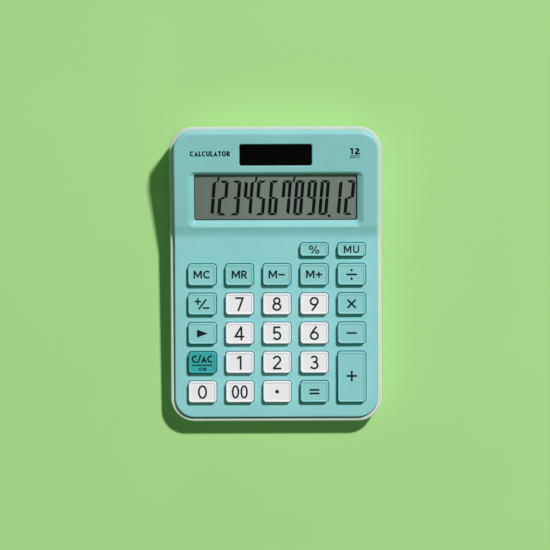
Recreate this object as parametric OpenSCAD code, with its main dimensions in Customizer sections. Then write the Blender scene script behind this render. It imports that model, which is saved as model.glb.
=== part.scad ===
// Desk calculator: a tray-shaped lower case, a one-piece top case with a sloped display deck,
// 26 sprung keys over a rubber dome mat, a 12-digit liquid crystal display, a solar cell and a
// button cell. X runs to the right, Y to the rear, Z up; the feet stand on z = 0.

/* [Overall size] */
// Width over the rim of the lower case
case_w = 106.5; // [106:0.5:112]
// Depth from the front of the rim to its rear
case_l = 148; // [148:0.5:154]
// Height of the rear edge of the top case above the table
case_h = 29; // [28.5:0.5:31]
// Corner radius of the rim, seen from above
rim_r = 12; // [11:0.5:13]

/* [Top case] */
// Tilt of the keyboard deck, in degrees
keyboard_tilt = 2.1; // [1.5:0.1:2.5]
// Height of the keyboard deck at the origin
deck_h = 14.33; // [14.2:0.1:14.8]
// Tilt of the display deck, in degrees
display_tilt = 14; // [13.5:0.5:14.5]
// Wall thickness of the top case
top_wall = 2; // [1.8:0.1:2]
// Width of the rim that shows round the top case
rim_show = 2.4; // [2.4:0.1:2.6]

/* [Lower case] */
// Height of the rim at the front
rim_front_h = 10; // [9.8:0.1:10.2]
// Height of the rim where it starts to rise beside the display
rim_mid_h = 12.65; // [12.5:0.05:12.8]
// Height of the rim at the rear
rim_rear_h = 24.3; // [24:0.1:24.8]
// Wall thickness of the lower case
tray_wall = 2.2; // [2:0.1:2.2]

/* [Display] */
// Width of the display opening
window_w = 81.9; // [80:0.1:82]
// Length of the display opening along the slope
window_l = 23.6; // [23:0.1:24]
// Width of the solar opening
solar_w = 36.2; // [34:0.2:37]
// Length of the solar opening along the slope
solar_l = 10.9; // [10:0.1:11]

/* [Keys] */
// Spacing of the key columns
key_pitch_x = 18.8; // [18.6:0.1:18.8]
// Spacing of the key rows
key_pitch_y = 14.75; // [14.7:0.05:14.8]
// Width of a key
key_w = 14.2; // [13.6:0.1:14.2]
// Length of a key
key_l = 10.8; // [10.4:0.1:11]
// Length of the two short keys in the back row
short_key_l = 6.7; // [6:0.1:6.8]
// Height of a key above the deck
key_stand = 2.5; // [2.2:0.1:2.8]
// How far a key goes down
key_travel = 1.5; // [1.2:0.1:1.5]

/* [Hidden] */
$fn = 48;
hull_fn = 32;
eps = 0.05;
big = 60;

deck_blue = [0.53, 0.79, 0.79];
key_teal = [0.2, 0.62, 0.62];
off_white = [0.82, 0.87, 0.84];
key_white = [0.9, 0.9, 0.91];
smoke = [0.15, 0.17, 0.16];
steel = [0.72, 0.72, 0.74];
board_green = [0.1, 0.36, 0.2];

// Levels of the base and of the rim
base_z = 1;
floor_t = 2;
floor_z = base_z + floor_t;
rim_break_y = 20;
ledge_drop = 1.5;

// Top case outline
top_w = case_w - 2 * rim_show;
top_l = case_l - 2 * rim_show + 0.2;
top_r = rim_r - rim_show;

// The top surface as three straight runs, each a point (y, z) on it and its angle
ramp_front_y = 19.5;
ramp_rear_y = 24.4;
ramp_front_z = deck_h + ramp_front_y * tan(keyboard_tilt);
ramp_rear_z = case_h - (top_l / 2 - ramp_rear_y) * tan(display_tilt);
ramp_tilt = atan((ramp_rear_z - ramp_front_z) / (ramp_rear_y - ramp_front_y));
RUNS = [
    [0, deck_h, keyboard_tilt],
    [ramp_front_y, ramp_front_z, ramp_tilt],
    [ramp_rear_y, ramp_rear_z, display_tilt]
];
function run_slope(i) = tan(RUNS[i][2]);
function run_level(i, t) = RUNS[i][1] - RUNS[i][0] * run_slope(i) - t / cos(RUNS[i][2]);
function run_z(i, t, y) = run_level(i, t) + y * run_slope(i);
function run_meet(i, t) =
    let (y = (run_level(i + 1, t) - run_level(i, t)) / (run_slope(i) - run_slope(i + 1)))
    [y, run_z(i, t, y)];
// Side view of the surface lying t under the top surface, from front to rear
function surface_line(t) = [
    [-2 * big, run_z(0, t, -2 * big)],
    run_meet(0, t),
    run_meet(1, t),
    [2 * big, run_z(2, t, 2 * big)]
];

// Side view of the line lying t under the rim, from front to rear
rim_front_slope = (rim_mid_h - rim_front_h) / (case_l / 2 + rim_break_y);
rim_rear_slope = (rim_rear_h - rim_mid_h) / (case_l / 2 - rim_break_y);
function rim_line(t) = [
    [-2 * big, rim_mid_h - (rim_break_y + 2 * big) * rim_front_slope - t],
    [rim_break_y, rim_mid_h - t],
    [2 * big, rim_mid_h + (2 * big - rim_break_y) * rim_rear_slope - t]
];

// Display deck frame: its origin is the middle of the display opening
window_y = 38.36;
window_z = ramp_rear_z + (window_y - ramp_rear_y) * tan(display_tilt);
bevel_depth = 1.55;
bevel_side = 3;
bevel_front = 3.1;
bevel_rear = 1.4;
window_r = 1;
pane_w = 85;
pane_l = 27.2;
pane_t = 0.6;
collar_t = 0.65;
collar_w = pane_w + 4;
collar_l = pane_l + 4;
solar_v = 21.89;
solar_r = 1;
solar_flange = 1.4;

// Liquid crystal display stack, as depths under the display deck
pocket_w = 84.8;
pocket_l = 28.4;
lcd_w = 84.4;
lcd_l = 28;
lcd_ledge = 1.7;
lcd_top = top_wall + collar_t + eps;
glass_t = 0.6;
rear_glass_top = lcd_top + glass_t + eps;
reflector_top = rear_glass_top + glass_t;
reflector_t = 0.2;
bracket_depth = 6.2;
bracket_w = 88.4;
bracket_l = 29.9;
bracket_screw_x = 46.6;
bracket_screw_v = 9;
bracket_boss_depth = 3.4;
bracket_tab_t = 1.2;

// Keyboard stack, as depths under the keyboard deck
key_r = 1.7;
key_gap = 0.3;
key_wall = 1.2;
key_chamfer = 0.5;
flange_top = top_wall + eps;
flange_t = 0.9;
flange_w = 0.7;
key_foot = flange_top + flange_t;
plunger_d = 4;
mat_top = 5;
board_top = 5.8;
board_t = 1.2;
board_w = 93.6;
board_front = -64.4;
board_rear = 17.6;
pad_t = 0.1;

// Key grid: columns 1 to 5 from the left, rows 0 (short keys) to 5 from the rear
grid_x = 0.4;
short_row_y = 12.5;
function col_x(c) = grid_x + (c - 3) * key_pitch_x;
function row_y(r) = r == 0 ? short_row_y : -(r - 1) * key_pitch_y;
tall_key_y = (row_y(4) + row_y(5)) / 2;
tall_key_l = key_l + key_pitch_y;

// Name, column, row and colour of every key
KEYS = [
    ["key_percent", 4, 0, deck_blue],
    ["key_markup", 5, 0, deck_blue],
    ["key_memory_clear", 1, 1, deck_blue],
    ["key_memory_recall", 2, 1, deck_blue],
    ["key_memory_minus", 3, 1, deck_blue],
    ["key_memory_plus", 4, 1, deck_blue],
    ["key_divide", 5, 1, deck_blue],
    ["key_sign", 1, 2, deck_blue],
    ["key_7", 2, 2, key_white],
    ["key_8", 3, 2, key_white],
    ["key_9", 4, 2, key_white],
    ["key_multiply", 5, 2, deck_blue],
    ["key_backspace", 1, 3, deck_blue],
    ["key_4", 2, 3, key_white],
    ["key_5", 3, 3, key_white],
    ["key_6", 4, 3, key_white],
    ["key_minus", 5, 3, deck_blue],
    ["key_clear_on", 1, 4, key_teal],
    ["key_1", 2, 4, key_white],
    ["key_2", 3, 4, key_white],
    ["key_3", 4, 4, key_white],
    ["key_plus", 5, 4, deck_blue],
    ["key_0", 1, 5, key_white],
    ["key_00", 2, 5, key_white],
    ["key_point", 3, 5, key_white],
    ["key_equals", 4, 5, deck_blue]
];
function is_tall(k) = k[0] == "key_plus";
function key_len(k) = is_tall(k) ? tall_key_l : k[2] == 0 ? short_key_l : key_l;
function key_x(k) = col_x(k[1]);
function key_y(k) = is_tall(k) ? tall_key_y : row_y(k[2]);

// Case screws: x, y and the height where the post of the lower case meets the boss above it
CASE_SCREWS = [
    [-27.8, -67.3, 4.6],
    [28.6, -67.3, 4.6],
    [-44, 21.5, 7],
    [44, 21.5, 7],
    [-44.5, 66, 14],
    [44.5, 66, 14]
];
case_boss_d = 4.6;
post_d = 8.2;
post_land = 2.2;
counterbore_d = 5.4;
screw_hole_d = 2.8;
screw_d = 2.2;
screw_head_d = 4.4;
screw_head_t = 1.5;
screw_grip = 4.5;

// Circuit board screws, at crossings of the gaps between keys
function gap_x(c) = col_x(c) + key_pitch_x / 2;
function gap_y(r) = row_y(r) - key_pitch_y / 2;
BOARD_SCREWS = [for (c = [1, 4], r = [0, 2, 4]) [gap_x(c), r == 0 ? 7.4 : gap_y(r)]];
board_boss_d = 2.9;
board_pilot_d = 1.9;
board_screw_d = 1.4;

// Feet, and the battery with its cover
foot_x = 41;
foot_y = 57;
foot_d = 8;
foot_sink = 0.6;
battery_x = 28;
battery_y = 40;
battery_d = 11.6;
battery_t = 3.05;
well_d = 12.2;
well_top = 5.9;
well_wall = 1.9;
well_roof = 1.5;
cover_x = 31;
cover_w = 30;
cover_l = 22;
cover_t = 1.4;
cover_screw_x = 41.5;
strip_t = 0.25;
battery_z = base_z + cover_t;
contact_z = battery_z + battery_t + eps;

// ---- helpers ----

// Rounded rectangle with true arcs at its corners
module plate(w, l, r) {
    square([w - 2 * r, l], center = true);
    square([w, l - 2 * r], center = true);
    for (x = [-1, 1], y = [-1, 1])
        translate([x * (w / 2 - r), y * (l / 2 - r)])
            circle(r = r);
}

// A plate from height z0 to height z1
module slab(w, l, r, z0, z1) {
    translate([0, 0, z0])
        linear_extrude(z1 - z0)
            plate(w, l, r);
}

// A side view (y, z) swept across the whole width
module across(points, w = 4 * big) {
    rotate([90, 0, 90])
        linear_extrude(w, center = true)
            polygon(points);
}

// All space under a side view line
module below(line) {
    across(concat([[2 * big, -big], [-2 * big, -big]], line));
}

module on_deck() {
    translate([0, 0, deck_h])
        rotate([keyboard_tilt, 0, 0])
            children();
}

module on_display() {
    translate([0, window_y, window_z])
        rotate([display_tilt, 0, 0])
            children();
}

// A box whose four sides slope outward from size (w, l) at z = -d to the surface
module funnel(w, l, d, side, front, rear) {
    up = 1;
    intersection() {
        rotate([90, 0, 0])
            linear_extrude(4 * big, center = true)
                polygon([
                    [-w / 2, -d], [w / 2, -d],
                    [w / 2 + side * (d + up) / d, up], [-w / 2 - side * (d + up) / d, up]
                ]);
        across([
            [-l / 2, -d], [l / 2, -d],
            [l / 2 + rear * (d + up) / d, up], [-l / 2 - front * (d + up) / d, up]
        ]);
    }
}

// Pan head screw pointing up, with its head under z = 0 and a cross recess in the head
module screw(d, head_d, head_t, length) {
    slot_l = head_d * 0.62;
    slot_w = head_d * 0.18;
    difference() {
        union() {
            translate([0, 0, -head_t])
                cylinder(d = head_d, h = head_t);
            cylinder(d = d, h = length - d / 2);
            translate([0, 0, length - d / 2])
                cylinder(d1 = d, d2 = d * 0.4, h = d / 2);
        }
        for (a = [0, 90])
            rotate([0, 0, a])
                translate([-slot_l / 2, -slot_w / 2, -head_t - 1])
                    cube([slot_l, slot_w, 1 + head_t * 0.55]);
    }
}

// Round wire swept along a cubic curve through four control points
function wire_at(p, t) =
    pow(1 - t, 3) * p[0] + 3 * t * pow(1 - t, 2) * p[1]
    + 3 * t * t * (1 - t) * p[2] + pow(t, 3) * p[3];
function wire_dir(p, t) =
    3 * pow(1 - t, 2) * (p[1] - p[0]) + 6 * t * (1 - t) * (p[2] - p[1]) + 3 * t * t * (p[3] - p[2]);
function unit(v) = v / norm(v);
module wire(p, d, steps = 16, sides = 8) {
    points = [
        for (i = [0:steps])
            let (
                t = i / steps,
                u = unit(cross(wire_dir(p, t), [1, 0, 0])),
                v = unit(cross(u, wire_dir(p, t)))
            )
            for (k = [0:sides - 1])
                wire_at(p, t) + d / 2 * (cos(360 * k / sides) * u + sin(360 * k / sides) * v)
    ];
    skin = [
        for (i = [0:steps - 1], k = [0:sides - 1])
            let (a = i * sides + k, b = i * sides + (k + 1) % sides)
            each [[a, b, b + sides], [a, b + sides, a + sides]]
    ];
    start = [for (k = [0:sides - 1]) sides - 1 - k];
    end = [for (k = [0:sides - 1]) steps * sides + k];
    polyhedron(points, concat(skin, [start, end]));
}

// ---- casings ----

module top_shell() {
    difference() {
        intersection() {
            slab(top_w, top_l, top_r, 0, big);
            below(surface_line(0));
        }
        below(rim_line(ledge_drop));
        intersection() {
            slab(top_w - 2 * top_wall, top_l - 2 * top_wall, top_r - top_wall, -1, big);
            below(surface_line(top_wall));
        }
    }
}

// Bosses and the collar round the display, before they are cut to the inside of the top case.
// The collar leaves room for the flange of the solar window.
module top_bosses() {
    for (s = CASE_SCREWS)
        translate([s[0], s[1], s[2]])
            cylinder(d = case_boss_d, h = big);
    on_deck() {
        for (s = BOARD_SCREWS)
            translate([s[0], s[1], -board_top])
                cylinder(d = board_boss_d, h = board_top - eps);
    }
    on_display() {
        difference() {
            slab(collar_w, collar_l, 2, -top_wall - collar_t, -eps);
            translate([0, solar_v, 0])
                slab(
                    solar_w + 2 * solar_flange + 0.3, solar_l + 2 * solar_flange + 0.3, 1.1,
                    -big, big
                );
        }
        for (x = [-1, 1], v = [-1, 1])
            translate([x * bracket_screw_x, v * bracket_screw_v, -bracket_boss_depth])
                cylinder(d = 3.6, h = bracket_boss_depth - eps);
    }
}

module key_hole(k) {
    l = key_len(k) + 2 * key_gap;
    translate([key_x(k), key_y(k)])
        slab(key_w + 2 * key_gap, l, key_r + key_gap, -key_foot, 3);
}

module top_case() {
    color(deck_blue)
        difference() {
            union() {
                top_shell();
                intersection() {
                    top_bosses();
                    below(surface_line(eps));
                    slab(top_w - eps, top_l - eps, top_r, 0, big);
                }
            }
            on_deck() {
                for (k = KEYS)
                    key_hole(k);
                for (s = BOARD_SCREWS)
                    translate([s[0], s[1], -board_top - 1])
                        cylinder(d = board_pilot_d, h = 4.6);
            }
            on_display() {
                funnel(window_w, window_l, bevel_depth, bevel_side, bevel_front, bevel_rear);
                slab(window_w, window_l, window_r, -top_wall - 1, -bevel_depth + eps);
                slab(pane_w + 0.4, pane_l + 0.4, 1, -top_wall - collar_t - 1, -top_wall);
                translate([0, solar_v, 0])
                    slab(solar_w, solar_l, solar_r, -top_wall - 2, 2);
                for (x = [-1, 1], v = [-1, 1])
                    translate([x * bracket_screw_x, v * bracket_screw_v, -bracket_boss_depth - 1])
                        cylinder(d = 1.9, h = bracket_boss_depth);
            }
            for (s = CASE_SCREWS)
                translate([s[0], s[1], s[2] - 1])
                    cylinder(d = screw_hole_d, h = screw_grip + 1.6);
        }
}

// Outside of the lower case: upright walls over a rounded lower edge
module tray_outside() {
    // Height over the base, inset of the wall there and thickness of the slice
    SLICES = [[0, 3, 0.3], [0.9, 1.5, 0.3], [2.4, 0.6, 0.4], [4.4, 0.15, 0.4], [6.5, 0, big]];
    hull()
        for (s = SLICES)
            translate([0, 0, base_z + s[0]])
                linear_extrude(s[2])
                    plate(case_w - 2 * s[1], case_l - 2 * s[1], rim_r - s[1], $fn = hull_fn);
}

// Upright ribs that carry the lower edge of the top case
module tray_ribs() {
    rib_t = 1.2;
    rib_reach = 2.6;
    for (y = [-52, -30, -8, 8, 38, 52])
        for (x = [-1, 1])
            translate([x * (case_w / 2 - tray_wall - rib_reach / 2 + 0.1), y, 0])
                translate([-rib_reach / 2, -rib_t / 2, floor_z - 0.5])
                    cube([rib_reach, rib_t, big]);
    for (x = [-38, -10, 10, 38])
        for (y = [-1, 1])
            translate([x, y * (case_l / 2 - tray_wall - rib_reach / 2 + 0.1), 0])
                translate([-rib_t / 2, -rib_reach / 2, floor_z - 0.5])
                    cube([rib_t, rib_reach, big]);
}

module bottom_case() {
    inner_w = case_w - 2 * tray_wall;
    inner_l = case_l - 2 * tray_wall + 0.2;
    color(off_white)
        difference() {
            union() {
                difference() {
                    intersection() {
                        tray_outside();
                        below(rim_line(0));
                    }
                    slab(inner_w, inner_l, rim_r - tray_wall, floor_z, 2 * big);
                }
                intersection() {
                    tray_ribs();
                    below(rim_line(ledge_drop));
                }
                for (s = CASE_SCREWS)
                    translate([s[0], s[1], base_z + 0.5])
                        cylinder(d = post_d, h = s[2] - base_z - 0.5);
                translate([battery_x, battery_y, base_z + 0.5])
                    cylinder(d = well_d + 2 * well_wall, h = well_top + well_roof - base_z - 0.5);
                translate([cover_screw_x, battery_y, base_z + cover_t])
                    cylinder(d = 5.2, h = 5);
            }
            for (s = CASE_SCREWS)
                translate([s[0], s[1], 0]) {
                    cylinder(d = counterbore_d, h = s[2] - post_land);
                    cylinder(d = screw_hole_d, h = s[2] + 1);
                }
            for (x = [-1, 1], y = [-1, 1])
                translate([x * foot_x, y * foot_y, 0])
                    cylinder(d = foot_d + 0.4, h = base_z + foot_sink);
            translate([cover_x, battery_y, 0])
                slab(cover_w + 0.6, cover_l + 0.6, 2.3, 0, base_z + cover_t);
            translate([battery_x, battery_y, 0]) {
                cylinder(d = well_d, h = well_top);
                translate([-7.4, -1.8, battery_z + 0.2])
                    cube([1.7, 3.6, 10]);
                translate([-1.8, 3.8, well_top - 1])
                    cube([3.6, 0.9, 10]);
            }
            translate([cover_screw_x, battery_y, 0])
                cylinder(d = 2.2, h = base_z + cover_t + 3.8);
        }
}

module rubber_feet() {
    color("dimgray")
        for (x = [-1, 1], y = [-1, 1])
            translate([x * foot_x, y * foot_y, 0]) {
                cylinder(d1 = foot_d - 0.8, d2 = foot_d, h = 0.4);
                translate([0, 0, 0.4])
                    cylinder(d = foot_d, h = base_z + foot_sink - 0.4);
            }
}

module case_screws() {
    color(steel)
        for (s = CASE_SCREWS)
            translate([s[0], s[1], s[2] - post_land])
                screw(screw_d, screw_head_d, screw_head_t, post_land + screw_grip);
}

// ---- battery ----

module battery_cover() {
    color(off_white)
        difference() {
            translate([cover_x, battery_y, 0])
                slab(cover_w, cover_l, 2, base_z, base_z + cover_t);
            translate([cover_screw_x, battery_y, 0]) {
                cylinder(d = 4.6, h = base_z + 0.8);
                cylinder(d = 2.2, h = base_z + cover_t + 1);
            }
        }
}

module battery_cover_screw() {
    color(steel)
        translate([cover_screw_x, battery_y, base_z + 0.8])
            screw(1.6, 3.8, 0.7, 4);
}

module battery() {
    color(steel)
        translate([battery_x, battery_y, battery_z]) {
            cylinder(d = battery_d, h = battery_t - 0.3);
            translate([0, 0, battery_t - 0.3])
                cylinder(d = battery_d - 1.8, h = 0.3);
        }
}

module battery_contact_negative() {
    color(steel)
        translate([battery_x, battery_y, contact_z]) {
            translate([-1.5, -4.5, 0])
                cube([3, 9, strip_t]);
            translate([-1.5, 4.2, 0])
                cube([3, strip_t, 4]);
        }
}

module battery_contact_positive() {
    color(steel)
        translate([battery_x - battery_d / 2 - strip_t - eps, battery_y - 1.5, battery_z + 0.4])
            cube([strip_t, 3, 6.6]);
}

module battery_leads() {
    color("firebrick") {
        wire([[battery_x, 45.05, 8.9], [battery_x, 45.05, 14], [24, 24, 3], [20, 9, 7.1]], 1);
        wire([[21.3, battery_y, 9.2], [21.3, 38, 13], [18, 24, 3], [14, 9, 7.1]], 1);
    }
}

// ---- display and solar cell ----

module display_window() {
    color([0.8, 0.85, 0.85, 0.4])
        on_display()
            slab(pane_w, pane_l, 1, -top_wall - pane_t, -top_wall);
}

module lcd_front_glass() {
    color([0.6, 0.65, 0.6, 0.6])
        on_display()
            slab(lcd_w, lcd_l, 0.5, -lcd_top - glass_t, -lcd_top);
}

// The rear glass and the reflector leave a ledge of the front glass free for the ribbon
module lcd_rear_glass() {
    color([0.6, 0.65, 0.6, 0.6])
        on_display()
            translate([0, lcd_ledge / 2, 0])
                slab(lcd_w, lcd_l - lcd_ledge, 0.5, -rear_glass_top - glass_t, -rear_glass_top);
}

module lcd_reflector() {
    color([0.45, 0.5, 0.46])
        on_display()
            translate([0, lcd_ledge / 2, 0])
                slab(lcd_w, lcd_l - lcd_ledge, 0.5, -reflector_top - reflector_t, -reflector_top);
}

module lcd_bracket() {
    back_top = reflector_top + reflector_t;
    color(smoke)
        on_display()
            difference() {
                union() {
                    slab(bracket_w, bracket_l, 1.5, -bracket_depth, -lcd_top);
                    for (x = [-1, 1], v = [-1, 1])
                        translate([x * (bracket_screw_x - 1.4), v * bracket_screw_v, 0])
                            slab(
                                6.6, 5.6, 1,
                                -bracket_boss_depth - bracket_tab_t - eps, -bracket_boss_depth - eps
                            );
                }
                slab(pocket_w, pocket_l, 0.8, -back_top, 0);
                translate([0, -1.6, 0])
                    slab(74, 23.8, 1, -big, 0);
                for (x = [-1, 1], v = [-1, 1])
                    translate([x * bracket_screw_x, v * bracket_screw_v, -bracket_depth - 1]) {
                        cylinder(d = 2, h = bracket_depth);
                        cylinder(d = 3.8, h = bracket_depth + 1 - bracket_boss_depth - bracket_tab_t - eps);
                    }
            }
}

module lcd_bracket_screws() {
    color(steel)
        on_display()
            for (x = [-1, 1], v = [-1, 1])
                translate([
                    x * bracket_screw_x, v * bracket_screw_v,
                    -bracket_boss_depth - bracket_tab_t - 2 * eps
                ])
                    screw(1.4, 3.2, 0.9, 3.3);
}

// Flexible strip from the ledge of the front glass to the rear edge of the circuit board
module lcd_ribbon() {
    t = 0.15;
    ledge_z = -lcd_top - glass_t;
    function disp(v, w) = [
        window_y + v * cos(display_tilt) - w * sin(display_tilt),
        window_z + v * sin(display_tilt) + w * cos(display_tilt)
    ];
    function deck(v, w) = [
        v * cos(keyboard_tilt) - w * sin(keyboard_tilt),
        deck_h + v * sin(keyboard_tilt) + w * cos(keyboard_tilt)
    ];
    under = -board_top - board_t;
    outer = [
        disp(-13.8, ledge_z), disp(-12.65, ledge_z), disp(-12.45, ledge_z - 1),
        disp(-12.6, ledge_z - 3.4), [22.6, 7.95], deck(16.6, under - t), deck(12.5, under - t)
    ];
    inner = [
        deck(12.5, under), deck(16.5, under), [22.5, 8.1], disp(-12.75, ledge_z - 3.3),
        disp(-12.6, ledge_z - 1), disp(-12.8, ledge_z - t), disp(-13.8, ledge_z - t)
    ];
    color("peru")
        across(concat(outer, inner), 60);
}

module solar_window() {
    fit = 0.2;
    color([0.12, 0.1, 0.1, 0.7])
        on_display()
            translate([0, solar_v, 0]) {
                slab(solar_w - fit, solar_l - fit, solar_r - fit / 2, -top_wall, -0.35);
                slab(solar_w + 2 * solar_flange, solar_l + 2 * solar_flange, 1, -top_wall - 0.8, -top_wall);
            }
}

module solar_gasket() {
    color("black")
        on_display()
            translate([0, solar_v, 0])
                difference() {
                    slab(34, 11, 0.8, -top_wall - 1.2, -top_wall - 0.8);
                    slab(30, 8, 0.5, -top_wall - 2, 0);
                }
}

module solar_cell() {
    color([0.1, 0.05, 0.05])
        on_display()
            translate([0, solar_v, 0])
                slab(34, 11, 0.3, -top_wall - 2.3, -top_wall - 1.2);
}

module solar_leads() {
    color("firebrick") {
        wire([[-12, 60.6, 21.72], [-12, 63, 12.1], [-20, 34, 1], [-24, 9, 7.1]], 1);
        wire([[12, 60.6, 21.72], [12, 63, 12.1], [-8, 34, 1], [-18, 9, 7.1]], 1);
    }
}

// ---- keyboard ----

module dome(x, y) {
    translate([x, y, -mat_top])
        difference() {
            cylinder(d1 = 9.2, d2 = 6.4, h = mat_top - key_foot);
            translate([0, 0, -0.1])
                cylinder(d1 = 7.9, d2 = 5, h = 1.2);
        }
}

// Silicone sheet with a hollow dome, and a contact pill hanging in it, under every key
module keypad_mat() {
    color("whitesmoke")
        on_deck() {
            difference() {
                translate([0, (board_front + board_rear) / 2, 0])
                    slab(board_w, board_rear - board_front, 2, -board_top, -mat_top);
                for (k = KEYS)
                    translate([key_x(k), key_y(k), -board_top - 1])
                        cylinder(d = 7.9, h = 3);
                for (s = BOARD_SCREWS)
                    translate([s[0], s[1], -board_top - 1])
                        cylinder(d = board_boss_d + 0.6, h = 3);
            }
            for (k = KEYS)
                dome(key_x(k), key_y(k));
            for (k = KEYS)
                translate([key_x(k), key_y(k), -board_top + key_travel])
                    cylinder(d = 3, h = 0.6);
        }
}

module main_pcb() {
    color(board_green)
        on_deck()
            difference() {
                translate([0, (board_front + board_rear) / 2, 0])
                    slab(board_w, board_rear - board_front, 2, -board_top - board_t, -board_top);
                for (s = BOARD_SCREWS)
                    translate([s[0], s[1], -board_top - board_t - 1])
                        cylinder(d = 1.9, h = 4);
            }
}

// Printed carbon contacts on the board, one under every dome
module pcb_key_pads() {
    color("black")
        on_deck()
            for (k = KEYS)
                translate([key_x(k), key_y(k), -board_top])
                    cylinder(d = 5.6, h = pad_t);
}

module pcb_screws() {
    color(steel)
        on_deck()
            for (s = BOARD_SCREWS)
                translate([s[0], s[1], -board_top - board_t])
                    screw(board_screw_d, 3.4, 1.1, board_t + 3);
}

module chip_blob() {
    color("black")
        on_deck()
            translate([grid_x, -33, -board_top - board_t - 1.4])
                cylinder(d1 = 8, d2 = 13, h = 1.4);
}

module electrolytic_capacitor() {
    color([0.2, 0.25, 0.5])
        on_deck()
            translate([-34, 2, -board_top - board_t - 2.1])
                rotate([0, 90, 0])
                    cylinder(d = 4, h = 7);
}

module ceramic_capacitors() {
    color("tan")
        on_deck()
            for (x = [-12, 4, 10])
                translate([x, -2, -board_top - board_t - 1.2])
                    cube([3.2, 1.6, 1.2]);
}

// Keycap with its retaining flange and the plunger that rests on the dome, hollow underneath
module keycap(k) {
    l = key_len(k);
    w0 = key_w + 2 * flange_w;
    l0 = l + 2 * flange_w;
    c = key_chamfer;
    color(k[3])
        on_deck()
            translate([key_x(k), key_y(k), 0]) {
                difference() {
                    union() {
                        intersection() {
                            slab(key_w, l, key_r, -key_foot, key_stand);
                            across([
                                [-l / 2 - 1, -big], [l / 2 + 1, -big], [l / 2 + 1, key_stand - c - 1],
                                [l / 2 - c, key_stand], [-l / 2 + c, key_stand],
                                [-l / 2 - 1, key_stand - c - 1]
                            ]);
                        }
                        slab(w0, l0, key_r + flange_w, -key_foot, -flange_top);
                    }
                    slab(key_w - 2 * key_wall, l - 2 * key_wall, 0.6, -big, key_stand - key_wall);
                }
                translate([0, 0, -key_foot])
                    cylinder(d = plunger_d, h = key_foot + key_stand - key_wall);
            }
}

top_case();
bottom_case();
rubber_feet();
case_screws();
battery_cover();
battery_cover_screw();
battery();
battery_contact_negative();
battery_contact_positive();
battery_leads();
display_window();
lcd_front_glass();
lcd_rear_glass();
lcd_reflector();
lcd_bracket();
lcd_bracket_screws();
lcd_ribbon();
solar_window();
solar_gasket();
solar_cell();
solar_leads();
keypad_mat();
main_pcb();
pcb_key_pads();
pcb_screws();
chip_blob();
electrolytic_capacitor();
ceramic_capacitors();
for (k = KEYS)
    keycap(k);
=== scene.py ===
import math

import bmesh
import bpy
import numpy as np
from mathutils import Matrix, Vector
from mathutils.geometry import delaunay_2d_cdt


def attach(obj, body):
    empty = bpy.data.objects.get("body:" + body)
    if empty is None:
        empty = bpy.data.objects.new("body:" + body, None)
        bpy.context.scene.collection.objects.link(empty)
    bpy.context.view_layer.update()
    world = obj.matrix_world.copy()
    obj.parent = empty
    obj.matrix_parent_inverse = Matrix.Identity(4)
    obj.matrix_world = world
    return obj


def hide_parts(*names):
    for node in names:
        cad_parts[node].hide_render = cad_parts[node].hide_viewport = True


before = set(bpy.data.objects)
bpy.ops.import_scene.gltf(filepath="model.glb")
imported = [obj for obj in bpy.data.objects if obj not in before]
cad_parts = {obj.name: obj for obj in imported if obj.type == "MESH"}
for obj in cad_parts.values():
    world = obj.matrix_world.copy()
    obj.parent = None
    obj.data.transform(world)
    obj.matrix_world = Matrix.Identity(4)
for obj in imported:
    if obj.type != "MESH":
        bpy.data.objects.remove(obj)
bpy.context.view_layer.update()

# Lengths are in millimetres in the part's frame until they go into a mesh; lights and camera
# are in metres.
MM = 0.001

# ---- dimensions, as in the CAD but for TOP_W, TOP_L and TOP_R
CASE_W, CASE_L, CASE_H, RIM_R = 106.5, 148.0, 29.0, 12.0
BASE_Z, FLOOR_Z = 1.0, 3.0
# the top case is 0.3 mm larger all round than in the CAD, as in the photo
TOP_W, TOP_L, TOP_R, WALL = 102.3, 144.0, 9.9, 2.0
DISPLAY_END = 71.7  # where the display deck reaches its full height
DECK_TILT, DISPLAY_TILT = math.radians(2.1), math.radians(14)
DECK_Z = 14.33
RAMP_FRONT, RAMP_REAR = 19.5, 24.4
RIM_FRONT_Z, RIM_MID_Z, RIM_REAR_Z, RIM_BREAK_Y, LEDGE = 10.0, 12.65, 24.3, 20.0, 1.5
WINDOW_Y = 38.36
WINDOW_W, WINDOW_L, WINDOW_R, BEVEL_D = 81.9, 23.6, 1.0, 1.55
BEVEL_SIDE, BEVEL_FRONT, BEVEL_REAR = 3.0, 3.1, 1.4
SOLAR_W, SOLAR_L, SOLAR_R, SOLAR_V = 36.2, 10.9, 1.0, 21.89
GRID_X, PITCH_X, PITCH_Y, SHORT_ROW_Y = 0.4, 18.8, 14.75, 12.5
KEY_W, KEY_L, SHORT_L, KEY_R, KEY_GAP = 14.2, 10.8, 6.7, 1.7, 0.3
KEY_TOP, KEY_FOOT, FLANGE_TOP, FLANGE_W, KEY_WALL = 2.5, 2.95, 2.05, 0.7, 1.2
PLUNGER_D = 4.0
LCD_FACE = 2.7  # depth of the front of the liquid crystal glass under the display deck

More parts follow.
